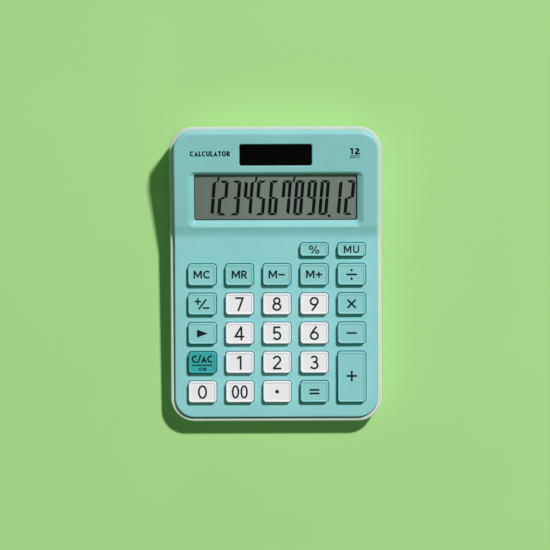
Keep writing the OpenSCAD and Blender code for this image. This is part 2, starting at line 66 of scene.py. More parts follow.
# name: column, row, legend
KEYS = {
    "key_percent": (4, 0, "percent"),
    "key_markup": (5, 0, "MU"),
    "key_memory_clear": (1, 1, "MC"),
    "key_memory_recall": (2, 1, "MR"),
    "key_memory_minus": (3, 1, "M-"),
    "key_memory_plus": (4, 1, "M+"),
    "key_divide": (5, 1, "divide"),
    "key_sign": (1, 2, "sign"),
    "key_7": (2, 2, "7"),
    "key_8": (3, 2, "8"),
    "key_9": (4, 2, "9"),
    "key_multiply": (5, 2, "multiply"),
    "key_backspace": (1, 3, "arrow"),
    "key_4": (2, 3, "4"),
    "key_5": (3, 3, "5"),
    "key_6": (4, 3, "6"),
    "key_minus": (5, 3, "minus"),
    "key_clear_on": (1, 4, "clear"),
    "key_1": (2, 4, "1"),
    "key_2": (3, 4, "2"),
    "key_3": (4, 4, "3"),
    "key_plus": (5, 4, "plus"),
    "key_0": (1, 5, "0"),
    "key_00": (2, 5, "00"),
    "key_point": (3, 5, "point"),
    "key_equals": (4, 5, "equals"),
}
WHITE_LEGENDS = ("point", "00", *"0123456789")

# x, y and height of the top of the post in the lower case
CASE_SCREWS = [
    (-27.8, -67.3, 4.6), (28.6, -67.3, 4.6), (-44, 21.5, 7),
    (44, 21.5, 7), (-44.5, 66, 14), (44.5, 66, 14),
]
FOOT_X, FOOT_Y = 41.0, 57.0
BATTERY_X, BATTERY_Y, COVER_X = 28.0, 40.0, 31.0


# ---- side profiles
PROFILE_END = 300.0  # the profiles run this far past the middle, both ways
BEND_STEPS = 8


def rounded_profile(lines, radii):
    """Side view (y, z) of straight lines z = slope * y + level, with round bends between them.
    Radii are positive where the bend is a valley, negative where it's a crest."""
    points = [(-PROFILE_END, lines[0][0] * -PROFILE_END + lines[0][1])]
    for (m1, c1), (m2, c2), r in zip(lines, lines[1:], radii):
        y = (c2 - c1) / (m1 - m2)
        z = m1 * y + c1
        a1, a2 = math.atan(m1), math.atan(m2)
        side = 1 if r > 0 else -1
        run = abs(r) * math.tan(abs(a2 - a1) / 2)
        sy, sz = y - run * math.cos(a1), z - run * math.sin(a1)
        cy, cz = sy - side * abs(r) * math.sin(a1), sz + side * abs(r) * math.cos(a1)
        for i in range(BEND_STEPS + 1):
            a = a1 + (a2 - a1) * i / BEND_STEPS
            points.append((cy + side * abs(r) * math.sin(a), cz - side * abs(r) * math.cos(a)))
    points.append((PROFILE_END, lines[-1][0] * PROFILE_END + lines[-1][1]))
    return np.array(points)


def top_lines(depth):
    """Keyboard deck, ramp and display deck as (slope, level), at this depth under the surface."""
    deck = (math.tan(DECK_TILT), DECK_Z)
    display_m = math.tan(DISPLAY_TILT)
    display = (display_m, CASE_H - DISPLAY_END * display_m)
    front_z = deck[0] * RAMP_FRONT + deck[1]
    rear_z = display[0] * RAMP_REAR + display[1]
    ramp_m = (rear_z - front_z) / (RAMP_REAR - RAMP_FRONT)
    ramp = (ramp_m, front_z - ramp_m * RAMP_FRONT)
    return [(m, c - depth * math.hypot(1, m)) for m, c in (deck, ramp, display)]


VALLEY_R, CREST_R, RIM_BEND_R = 10.0, 6.0, 14.0
TOP_PROFILE = rounded_profile(top_lines(0), (VALLEY_R, -CREST_R))
UNDER_PROFILE = rounded_profile(top_lines(WALL), (VALLEY_R + WALL, -(CREST_R - WALL)))
rim_front_m = (RIM_MID_Z - RIM_FRONT_Z) / (CASE_L / 2 + RIM_BREAK_Y)
rim_rear_m = (RIM_REAR_Z - RIM_MID_Z) / (CASE_L / 2 - RIM_BREAK_Y)
RIM_PROFILE = rounded_profile(
    [(m, RIM_MID_Z - m * RIM_BREAK_Y) for m in (rim_front_m, rim_rear_m)], (RIM_BEND_R,)
)
# where the long sides get points: at every bend of the two profiles, and a few between
BEND_YS = sorted([*TOP_PROFILE[1:-1, 0], *RIM_PROFILE[1:-1, 0]])
SIDE_YS = [-40.0, -10.0, BEND_YS[0]]
SIDE_YS += [y for before, y in zip(BEND_YS, BEND_YS[1:]) if y - before > 0.02]
SIDE_YS += [40.0]


def profile_z(profile, y):
    return float(np.interp(y, profile[:, 0], profile[:, 1]))


def top_z(y):
    return profile_z(TOP_PROFILE, y)


def under_z(y):
    return profile_z(UNDER_PROFILE, y)


def rim_z(y):
    return profile_z(RIM_PROFILE, y)


class Plane:
    """A tilted plane: u to the right, v up the slope, w out of it."""

    def __init__(self, y, z, tilt):
        self.y, self.z, self.c, self.s = y, z, math.cos(tilt), math.sin(tilt)

    def at(self, u, v, w):
        return (u, self.y + v * self.c - w * self.s, self.z + v * self.s + w * self.c)


DECK = Plane(0, DECK_Z, DECK_TILT)
DISPLAY = Plane(WINDOW_Y, top_lines(0)[2][0] * WINDOW_Y + top_lines(0)[2][1], DISPLAY_TILT)
FLAT = Plane(0, 0, 0)


# ---- outlines
CORNER_STEPS = 14  # facets round each corner of the case


def rect_loop(x0, x1, y0, y1, r, steps=6, side_ys=()):
    """Counter-clockwise rounded rectangle as (x, y, nx, ny), with n the outward normal."""
    r = max(r, 0.02)
    out = []
    for cx, cy, start in (
        (x1 - r, y1 - r, 0), (x0 + r, y1 - r, 90), (x0 + r, y0 + r, 180), (x1 - r, y0 + r, 270),
    ):
        if start == 180:
            out += [(x0, y, -1.0, 0.0) for y in reversed(side_ys)]
        for i in range(steps + 1):
            a = math.radians(start + 90 * i / steps)
            out.append((cx + r * math.cos(a), cy + r * math.sin(a), math.cos(a), math.sin(a)))
    out += [(x1, y, 1.0, 0.0) for y in side_ys]
    return out


def centred(w, l, r, steps=6, side_ys=(), x=0.0, y=0.0):
    return rect_loop(x - w / 2, x + w / 2, y - l / 2, y + l / 2, r, steps, side_ys)


def circle_loop(x, y, r, n=40):
    return [
        (x + r * math.cos(a), y + r * math.sin(a), math.cos(a), math.sin(a))
        for a in (2 * math.pi * i / n for i in range(n))
    ]


def inset(loop, d):
    """The loop moved inwards by d, or by d(ny) where d is a function of the normal."""
    if callable(d):
        return [(x - nx * d(ny), y - ny * d(ny), nx, ny) for x, y, nx, ny in loop]
    return [(x - nx * d, y - ny * d, nx, ny) for x, y, nx, ny in loop]


def inside(points, polygon):
    """Which of these 2-D points lie inside the polygon, even where it crosses itself."""
    x, y = points[:, 0][:, None], points[:, 1][:, None]
    a = np.asarray(polygon, float)
    b = np.roll(a, -1, 0)
    cross = (a[:, 1] > y) != (b[:, 1] > y)
    dy = np.where(b[:, 1] == a[:, 1], 1e-12, b[:, 1] - a[:, 1])
    hit = x < (b[:, 0] - a[:, 0]) * (y - a[:, 1]) / dy + a[:, 0]
    turn = np.where(b[:, 1] > a[:, 1], 1, -1)
    return ((cross & hit) * turn).sum(1) != 0


# ---- mesh building
class Shell:
    """Points and faces of one closed piece."""

    def __init__(self):
        self.points, self.faces = [], []

    def ring(self, points):
        start = len(self.points)
        self.points += [tuple(p) for p in points]
        return list(range(start, start + len(points)))

    def level(self, loop, z):
        """A ring of the loop's points at height z, or at z(y) where z is a function."""
        return self.ring([(x, y, z(y) if callable(z) else z) for x, y, _, _ in loop])

    def on(self, plane, loop, w):
        """A ring of the loop's points at height w over the plane."""
        return self.ring([plane.at(u, v, w) for u, v, _, _ in loop])

    def add(self, face):
        self.faces.append(tuple(face))

    def bridge(self, a, b):
        n = len(a)
        for i in range(n):
            j = (i + 1) % n
            self.add((a[i], a[j], b[j], b[i]))

    def bridge_all(self, rings):
        for a, b in zip(rings, rings[1:]):
            self.bridge(a, b)

    def lathe(self, plane, u, v, profile, n=24):
        """A solid of revolution about the plane's w axis through (u, v). The profile is
        (radius, w) points, and a radius of 0 at an end closes it in a point."""
        rings = []
        for r, w in profile:
            if r == 0:
                rings.append(self.ring([plane.at(u, v, w)]))
            else:
                rings.append(self.ring([
                    plane.at(u + r * math.cos(a), v + r * math.sin(a), w)
                    for a in (2 * math.pi * i / n for i in range(n))
                ]))
        for a, b in zip(rings, rings[1:]):
            if len(a) == 1:
                for i in range(n):
                    self.add((a[0], b[(i + 1) % n], b[i]))
            elif len(b) == 1:
                for i in range(n):
                    self.add((a[i], a[(i + 1) % n], b[0]))
            else:
                self.bridge(a, b)
        for end in (rings[0], rings[-1]):
            if len(end) > 1:
                self.add(end)

    def block(self, plane, u0, u1, v0, v1, w0, w1):
        corners = ((u0, v0), (u1, v0), (u1, v1), (u0, v1))
        low, high = (self.ring([plane.at(u, v, w) for u, v in corners]) for w in (w0, w1))
        self.bridge(low, high)
        self.add(low)
        self.add(high)

    def sheet(self, outer, holes, lift, extra=()):
        """Fills between the outer ring and the holes, seen from above. Points of extra are added
        inside, at the height that lift(x, y) gives."""

        def flat_ring(ring):
            return [self.points[k][:2] for k in ring]

        def filled(points):
            keep = inside(points, flat_ring(outer))
            for h in holes:
                keep &= ~inside(points, flat_ring(h))
            return keep

        ids, verts, edges = [], [], []
        for ring in [outer, *holes]:
            start = len(verts)
            for k in ring:
                ids.append(k)
                verts.append(Vector(self.points[k][:2]))
            n = len(ring)
            edges += [(start + i, start + (i + 1) % n) for i in range(n)]
        if len(extra):
            extra = np.asarray(extra, float)
            for x, y in extra[filled(extra)]:
                verts.append(Vector((x, y)))
                ids.append(None)
        out_v, _, out_f, orig, _, _ = delaunay_2d_cdt(verts, edges, [], 0, 1e-6)
        table = []
        for v, source in zip(out_v, orig):
            known = [ids[s] for s in source if ids[s] is not None]
            if known:
                table.append(known[0])
            else:
                self.points.append((v.x, v.y, lift(v.x, v.y)))
                table.append(len(self.points) - 1)
        flat = np.array([(v.x, v.y) for v in out_v])
        tri = np.array([f for f in out_f if len(f) == 3])
        for f in tri[filled(flat[tri].mean(1))]:
            self.add([table[i] for i in f])


def finish_piece(name, shell, material, body, replaces=(), smooth=35.0, weighted=True):
    """The shell as an object that rides the body; edges above smooth degrees are sharp."""
    me = bpy.data.meshes.new(name)
    me.from_pydata([Vector(p) * MM for p in shell.points], [], shell.faces)
    me.materials.append(material)
    bm = bmesh.new()
    bm.from_mesh(me)
    bmesh.ops.delete(bm, geom=[v for v in bm.verts if not v.link_faces], context="VERTS")
    bmesh.ops.recalc_face_normals(bm, faces=bm.faces)
    bm.to_mesh(me)
    bm.free()
    me.polygons.foreach_set("use_smooth", [True] * len(me.polygons))
    me.set_sharp_from_angle(angle=math.radians(smooth))
    obj = bpy.data.objects.new(name, me)
    bpy.context.scene.collection.objects.link(obj)
    if weighted:
        mod = obj.modifiers.new("even_normals", "WEIGHTED_NORMAL")
        mod.keep_sharp = True
        mod.weight = 60
    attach(obj, body)
    if replaces:
        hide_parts(*replaces)


# ---- materials
class Nodes:
    """Shorthand for a material's node tree. Texture coordinates are object space, in mm."""

    def __init__(self, name):
        self.mat = bpy.data.materials.new(name)
        self.mat.use_nodes = True
        self.t = self.mat.node_tree
        self.bsdf = self.t.nodes["Principled BSDF"]
        coord = self.t.nodes.new("ShaderNodeTexCoord")
        scale = self.t.nodes.new("ShaderNodeVectorMath")
        scale.operation = "SCALE"
        scale.inputs["Scale"].default_value = 1 / MM
        self.link(coord.outputs["Object"], scale.inputs[0])
        self.mm = scale.outputs[0]

    def link(self, a, b):
        self.t.links.new(a, b)

    def noise(self, scale, detail=2.0, rough=0.5, vector=None):
        n = self.t.nodes.new("ShaderNodeTexNoise")
        for key, value in (("Scale", scale), ("Detail", detail), ("Roughness", rough)):
            n.inputs[key].default_value = value
        self.link(vector or self.mm, n.inputs["Vector"])
        return n.outputs["Fac"]

    def span(self, value, low, high, from_low=0.3, from_high=0.7):
        n = self.t.nodes.new("ShaderNodeMapRange")
        for key, limit in (
            ("From Min", from_low), ("From Max", from_high), ("To Min", low), ("To Max", high),
        ):
            n.inputs[key].default_value = limit
        self.link(value, n.inputs["Value"])
        return n.outputs["Result"]

    def math(self, op, a, b=0.0):
        n = self.t.nodes.new("ShaderNodeMath")
        n.operation = op
        for socket, v in zip(n.inputs, (a, b)):
            if isinstance(v, (int, float)):
                socket.default_value = v
            else:
                self.link(v, socket)
        return n.outputs[0]

    def mix(self, fac, a, b):
        n = self.t.nodes.new("ShaderNodeMix")
        n.data_type = "RGBA"
        self.link(fac, n.inputs["Factor"])
        for socket, v in ((n.inputs["A"], a), (n.inputs["B"], b)):
            if isinstance(v, tuple):
                socket.default_value = (*v, 1.0)
            else:
                self.link(v, socket)
        return n.outputs["Result"]

    def base(self, fac, low, high):
        self.link(self.mix(fac, low, high), self.bsdf.inputs["Base Color"])

    def roughness(self, value, low, high):
        self.link(self.span(value, low, high), self.bsdf.inputs["Roughness"])

    def bump(self, height, strength, distance):
        n = self.t.nodes.new("ShaderNodeBump")
        n.inputs["Strength"].default_value = strength
        n.inputs["Distance"].default_value = distance * MM
        self.link(height, n.inputs["Height"])
        self.link(n.outputs["Normal"], self.bsdf.inputs["Normal"])


def linear(rgb):
    """Linear values of an 8-bit sRGB colour."""
    return tuple(
        c / 12.92 if c <= 0.04045 else ((c + 0.055) / 1.055) ** 2.4 for c in (v / 255 for v in rgb)
    )


def shade(rgb, k):
    return tuple(max(0.0, min(1.0, c * k)) for c in rgb)


def plastic(name, rgb, rough=0.42, grain=0.22, bump=0.05, vary=0.03, specular=0.4):
    """Moulded plastic: even colour with faint cloudiness, and a fine eroded grain."""
    n = Nodes(name)
    base = linear(rgb)
    cloud = n.noise(0.045, 3.0)
    n.base(n.span(cloud, 0, 1), shade(base, 1 - vary), shade(base, 1 + vary))
    fine = n.noise(1 / grain, 2.0, 0.6)
    n.roughness(n.noise(1.4, 3.0), rough - 0.05, rough + 0.06)
    n.bsdf.inputs["Specular IOR Level"].default_value = specular
    n.bump(fine, 0.35, bump)
    return n.mat


def metal(name, rgb, rough):
    """Brushed metal, with streaks along x."""
    n = Nodes(name)
    base = linear(rgb)
    stretch = n.t.nodes.new("ShaderNodeVectorMath")
    stretch.operation = "MULTIPLY"
    stretch.inputs[1].default_value = (1.0, 9.0, 3.0)
    n.link(n.mm, stretch.inputs[0])
    streak = n.noise(1.6, 4.0, 0.6, vector=stretch.outputs[0])
    n.base(n.span(streak, 0, 1), shade(base, 0.85), shade(base, 1.08))
    n.roughness(streak, rough - 0.08, rough + 0.14)
    n.bsdf.inputs["Metallic"].default_value = 1.0
    n.bump(streak, 0.3, 0.01)
    return n.mat


def clear(name, tint, solid, rough=0.03, body=(0.02, 0.02, 0.02)):
    """A thin clear pane: it shows what is behind it, tinted, under a polished surface."""
    n = Nodes(name)
    n.bsdf.inputs["Base Color"].default_value = (*body, 1)
    n.bsdf.inputs["Specular IOR Level"].default_value = 0.5
    n.roughness(n.noise(0.12, 3.0), rough, rough + 0.05)
    see = n.t.nodes.new("ShaderNodeBsdfTransparent")
    see.inputs["Color"].default_value = (*tint, 1)
    mixer = n.t.nodes.new("ShaderNodeMixShader")
    mixer.inputs["Fac"].default_value = solid
    n.link(see.outputs[0], mixer.inputs[1])
    n.link(n.bsdf.outputs[0], mixer.inputs[2])
    n.link(mixer.outputs[0], n.t.nodes["Material Output"].inputs["Surface"])
    return n.mat


def lcd_ground_painted_shade(name, rgb):
    """The reflective film behind the liquid crystal: fine speckle, and painted shade that makes it
    darker to the left.
    """
    n = Nodes(name)
    base = linear(rgb)
    speck = n.noise(7.0, 2.0, 0.7)
    wide = n.noise(0.03, 1.0)
    value = n.math("ADD", n.math("MULTIPLY", speck, 0.35), n.math("MULTIPLY", wide, 0.65))
    tone = n.mix(n.span(value, 0, 1), shade(base, 0.9), shade(base, 1.08))
    split = n.t.nodes.new("ShaderNodeSeparateXYZ")
    n.link(n.mm, split.inputs[0])
    # painted shade: the colour falls from the film's tone at x = -8 mm to 0.78 of the base at x =
    # -44 mm and beyond
    n.base(n.span(split.outputs["X"], 1, 0, -44, -8), tone, shade(base, 0.78))
    n.roughness(speck, 0.42, 0.6)
    n.bump(speck, 0.2, 0.01)
    return n.mat


def solar_material(name):
    """Amorphous silicon: dark brown cells between thin darker lines, on nearly black glass."""
    n = Nodes(name)
    split = n.t.nodes.new("ShaderNodeSeparateXYZ")
    n.link(n.mm, split.inputs[0])
    across = n.math("FRACT", n.math("DIVIDE", split.outputs["X"], 7.2))
    line = n.span(n.math("ABSOLUTE", n.math("SUBTRACT", across, 0.5)), 0, 1, 0.47, 0.485)
    cloud = n.noise(0.1, 3.0)
    body = n.mix(n.span(cloud, 0, 1), (0.026, 0.028, 0.02), (0.042, 0.04, 0.03))
    n.base(line, body, (0.006, 0.006, 0.005))
    n.roughness(cloud, 0.12, 0.22)
    n.bump(line, 0.2, 0.02)
    return n.mat


def board_material(name):
    """Green solder mask over copper runs."""
    n = Nodes(name)
    brick = n.t.nodes.new("ShaderNodeTexBrick")
    brick.inputs["Scale"].default_value = 0.55
    brick.inputs["Mortar Size"].default_value = 0.06
    n.link(n.mm, brick.inputs["Vector"])
    tone = n.mix(brick.outputs["Fac"], linear((24, 96, 56)), linear((46, 128, 74)))
    cloud = n.noise(0.1, 3.0)
    n.base(n.span(cloud, 0, 0.25), tone, linear((18, 78, 46)))
    n.roughness(cloud, 0.25, 0.36)
    n.bump(brick.outputs["Fac"], 0.4, 0.03)
    return n.mat


def ink(name, rgb, rough=0.5):
    """Matt print with a little variation in its cover."""
    n = Nodes(name)
    base = linear(rgb)
    grain = n.noise(5.0, 3.0, 0.6)
    n.base(n.span(grain, 0, 1), shade(base, 0.85), shade(base, 1.25))
    n.roughness(grain, rough - 0.06, rough + 0.1)
    n.bsdf.inputs["Specular IOR Level"].default_value = 0.25
    n.bump(grain, 0.2, 0.01)
    return n.mat


LOOKS = {
    "case": plastic("case_turquoise", (147, 211, 214), rough=0.44),
    "tray": plastic("case_white", (211, 218, 212), rough=0.46, grain=0.3, bump=0.07),
    "turquoise": plastic("key_turquoise", (145, 209, 211), rough=0.38, grain=0.16, bump=0.03),
    "teal": plastic("key_teal", (58, 172, 174), rough=0.38, grain=0.16, bump=0.03),
    "white": plastic(
        "key_white", (247, 243, 249), rough=0.36, grain=0.16, bump=0.025, vary=0.012
    ),
    "legend": ink("legend_ink", (5, 25, 31)),
    "lcd_ink": ink("lcd_ink", (3, 5, 4), rough=0.45),
    "feet": plastic(
        "feet_rubber", (78, 82, 82), rough=0.72, grain=0.4, bump=0.12, vary=0.08, specular=0.3
    ),
    "steel": metal("screw_steel", (196, 197, 200), 0.32),
    "battery": metal("battery_steel", (205, 205, 208), 0.24),
    "contact": metal("contact_metal", (208, 200, 180), 0.28),
    "lead": plastic("lead_insulation", (170, 30, 24), rough=0.3, grain=0.5, bump=0.02, vary=0.08),
    "window": clear("window_clear", (0.99, 0.995, 0.99), 0.02),
    "smoke": clear("window_smoked", (0.42, 0.36, 0.34), 0.22, body=(0.01, 0.008, 0.008)),
    # the LCD's grey, with painted shade darkening its left side
    "lcd_ground_painted_shade": lcd_ground_painted_shade("lcd_glass", (132, 139, 134)),
    "bracket": plastic(
        "bracket_plastic", (34, 37, 37), rough=0.5, grain=0.4, bump=0.06, vary=0.08
    ),
    "ribbon": plastic("ribbon_film", (196, 140, 56), rough=0.25, grain=0.8, bump=0.02, vary=0.06),
    "foam": plastic(
        "gasket_foam", (22, 22, 22), rough=0.85, grain=0.3, bump=0.3, vary=0.1, specular=0.2
    ),
    "solar": solar_material("solar_glass"),
    "mat": plastic("mat_silicone", (222, 225, 222), rough=0.5, grain=0.6, bump=0.04, specular=0.3),
    "board": board_material("board_laminate"),
    "carbon": plastic("pad_carbon", (26, 26, 27), rough=0.6, grain=0.3, bump=0.06, vary=0.1),
    "epoxy": plastic("chip_epoxy", (16, 16, 17), rough=0.22, grain=1.2, bump=0.05, vary=0.1),
    "sleeve": plastic(
        "capacitor_sleeve", (34, 42, 88), rough=0.28, grain=0.8, bump=0.02, vary=0.06
    ),
    "ceramic": plastic(
        "capacitor_ceramic", (178, 142, 100), rough=0.55, grain=0.3, bump=0.05, vary=0.06
    ),
}


# ---- keyboard places
def col_x(c):
    return GRID_X + (c - 3) * PITCH_X


def row_y(r):
    return SHORT_ROW_Y if r == 0 else -(r - 1) * PITCH_Y


def key_place(name):
    """Middle (u, v) and length of a key on the deck."""
    c, r, _ = KEYS[name]
    if name == "key_plus":
        return col_x(c), (row_y(4) + row_y(5)) / 2, KEY_L + PITCH_Y
    return col_x(c), row_y(r), SHORT_L if r == 0 else KEY_L


# on the deck, between the first two and the last two columns
BOARD_SCREWS = [
    (col_x(c) + PITCH_X / 2, y)
    for c in (1, 4) for y in (7.4, row_y(2) - PITCH_Y / 2, row_y(4) - PITCH_Y / 2)
]


# ---- top case
def quarter(n):
    """n + 1 steps round a quarter turn, as (1 - sine, 1 - cosine): from (1, 0) to (0, 1)."""
    angles = (math.pi / 2 * i / n for i in range(n + 1))
    return [(1 - math.sin(a), 1 - math.cos(a)) for a in angles]


def build_top_case():
    s = Shell()
    draft = 0.12
    base = centred(TOP_W, TOP_L, TOP_R, CORNER_STEPS, SIDE_YS)
    under = centred(TOP_W - 2 * WALL, TOP_L - 2 * WALL, TOP_R - WALL, CORNER_STEPS, SIDE_YS)

    def edge_r(ny):
        """Radius of the rolled edge: small at the front and sides, large at the rear."""
        return 0.65 + 1.95 * max(0.0, ny) ** 2

    def ledge_z(y):
        return rim_z(y) - LEDGE

    foot = s.level(base, ledge_z)
    rings = [foot]
    for down, back in quarter(7):
        loop = inset(base, lambda ny: draft + edge_r(ny) * back)
        rings.append(s.ring([(x, y, top_z(y) - edge_r(ny) * down) for x, y, _, ny in loop]))
    loop = inset(base, lambda ny: draft + edge_r(ny) + 0.15)
    rings.append(s.level(loop, top_z))
    s.bridge_all(rings)
    inner_foot = s.level(under, ledge_z)
    inner_top = s.level(under, under_z)
    s.bridge(foot, inner_foot)
    s.bridge(inner_foot, inner_top)

    top_holes, under_holes = [], []

    def opening(plane, loops):
        """A hole whose first loop is laid on the outer surface and whose last is on the inner."""
        (first, first_w), *rest = loops
        mouth = (plane.at(u, v, first_w) for u, v, _, _ in first)
        made = [s.ring([(x, y, top_z(y)) for x, y, _ in mouth])]
        made += [s.on(plane, loop, w) for loop, w in rest]
        s.bridge_all(made)
        top_holes.append(made[0])
        under_holes.append(made[-1])

    def rolled(hole, edge, land, steps):
        """Loops of a hole with a rolled edge, the first one out on the flat by land."""
        loops = [(inset(hole, -edge - land), 0)]
        for out, down in quarter(steps):
            loops.append((inset(hole, -edge * out), -edge * down))
        return loops + [(hole, -WALL)]

    for name in KEYS:
        u, v, l = key_place(name)
        hole = centred(KEY_W + 2 * KEY_GAP, l + 2 * KEY_GAP, KEY_R + KEY_GAP, x=u, y=v)
        opening(DECK, rolled(hole, 0.28, 0.06, 3))
    opening(DISPLAY, rolled(centred(SOLAR_W, SOLAR_L, SOLAR_R, y=SOLAR_V), 0.5, 0.12, 4))

    def window_loop(k, r):
        """k runs from 0 at the opening to 1 at the outer edge of the sloping surround."""
        return rect_loop(
            -WINDOW_W / 2 - BEVEL_SIDE * k, WINDOW_W / 2 + BEVEL_SIDE * k,
            -WINDOW_L / 2 - BEVEL_FRONT * k, WINDOW_L / 2 + BEVEL_REAR * k, r, 8,
        )

    loops = []
    crest = 0.22
    for i in range(7):
        t = i / 6
        # a soft shoulder: quadratic curve from outside the edge, over it, on to the slope
        k = (1 - t) ** 2 * (1 + crest) + 2 * t * (1 - t) * 1.0 + t * t * (1 - crest)
        w = -BEVEL_D * crest * t * t
        loops.append((window_loop(k, WINDOW_R + 2.2 * k), w))
    for k in (0.5, 0.12):
        loops.append((window_loop(k, WINDOW_R + 2.2 * k), -BEVEL_D * (1 - k)))
    for w in (-BEVEL_D - 0.06, -BEVEL_D - 0.2, -WALL):
        loops.append((window_loop(0.0, WINDOW_R), w))
    opening(DISPLAY, loops)

    def bend_rows(profile, half, step):
        """Points across the case at every bend of the profile, so the sheet follows it."""
        ys = sorted(set(round(y, 3) for y in profile[1:-1, 0]))
        return [(x, y) for y in ys for x in np.arange(-half, half + 0.1, step)]

    s.sheet(rings[-1], top_holes, lambda x, y: top_z(y), bend_rows(TOP_PROFILE, 49.2, 1.4))
    s.sheet(inner_top, under_holes, lambda x, y: under_z(y), bend_rows(UNDER_PROFILE, 48.2, 2.0))

    def boss(plane, u, v, roof, end, bore_end, bore_r, boss_r, n):
        """A round boss down from the roof to its end, with a blind pilot hole up from there."""
        s.lathe(plane, u, v, [
            (0, bore_end), (bore_r, bore_end), (bore_r, end), (boss_r, end), (boss_r, roof),
        ], n)

    for x, y, z in CASE_SCREWS:
        bore_end = min(z + 5.6, under_z(y) - 0.3)
        boss(FLAT, x, y, under_z(y) + 0.6, z + 0.02, bore_end, 1.4, 2.3, 24)
    for u, v in BOARD_SCREWS:
        boss(DECK, u, v, -1.5, -5.8, -2.2, 0.95, 1.45, 16)
    for u in (-46.6, 46.6):
        for v in (-9, 9):
            boss(DISPLAY, u, v, -1.5, -3.4, -1.7, 0.95, 1.8, 16)

    # the collar that holds the display pane, thinner behind it where the solar cell sits
    w, l, wall, thin = 85.4 / 2, 27.6 / 2, 1.8, 0.8
    notch = SOLAR_W / 2 + 1.6
    for u0, u1, v0, v1 in (
        (-w - wall, w + wall, l, l + thin), (-w - wall, w + wall, -l - wall, -l),
        (-w - wall, -notch, l + thin, l + wall), (notch, w + wall, l + thin, l + wall),
        (-w - wall, -w, -l, l), (w, w + wall, -l, l),
    ):
        s.block(DISPLAY, u0, u1, v0, v1, -2.6, -1.8)
    finish_piece("top_case_shell", s, LOOKS["case"], "case", ["top_case"])


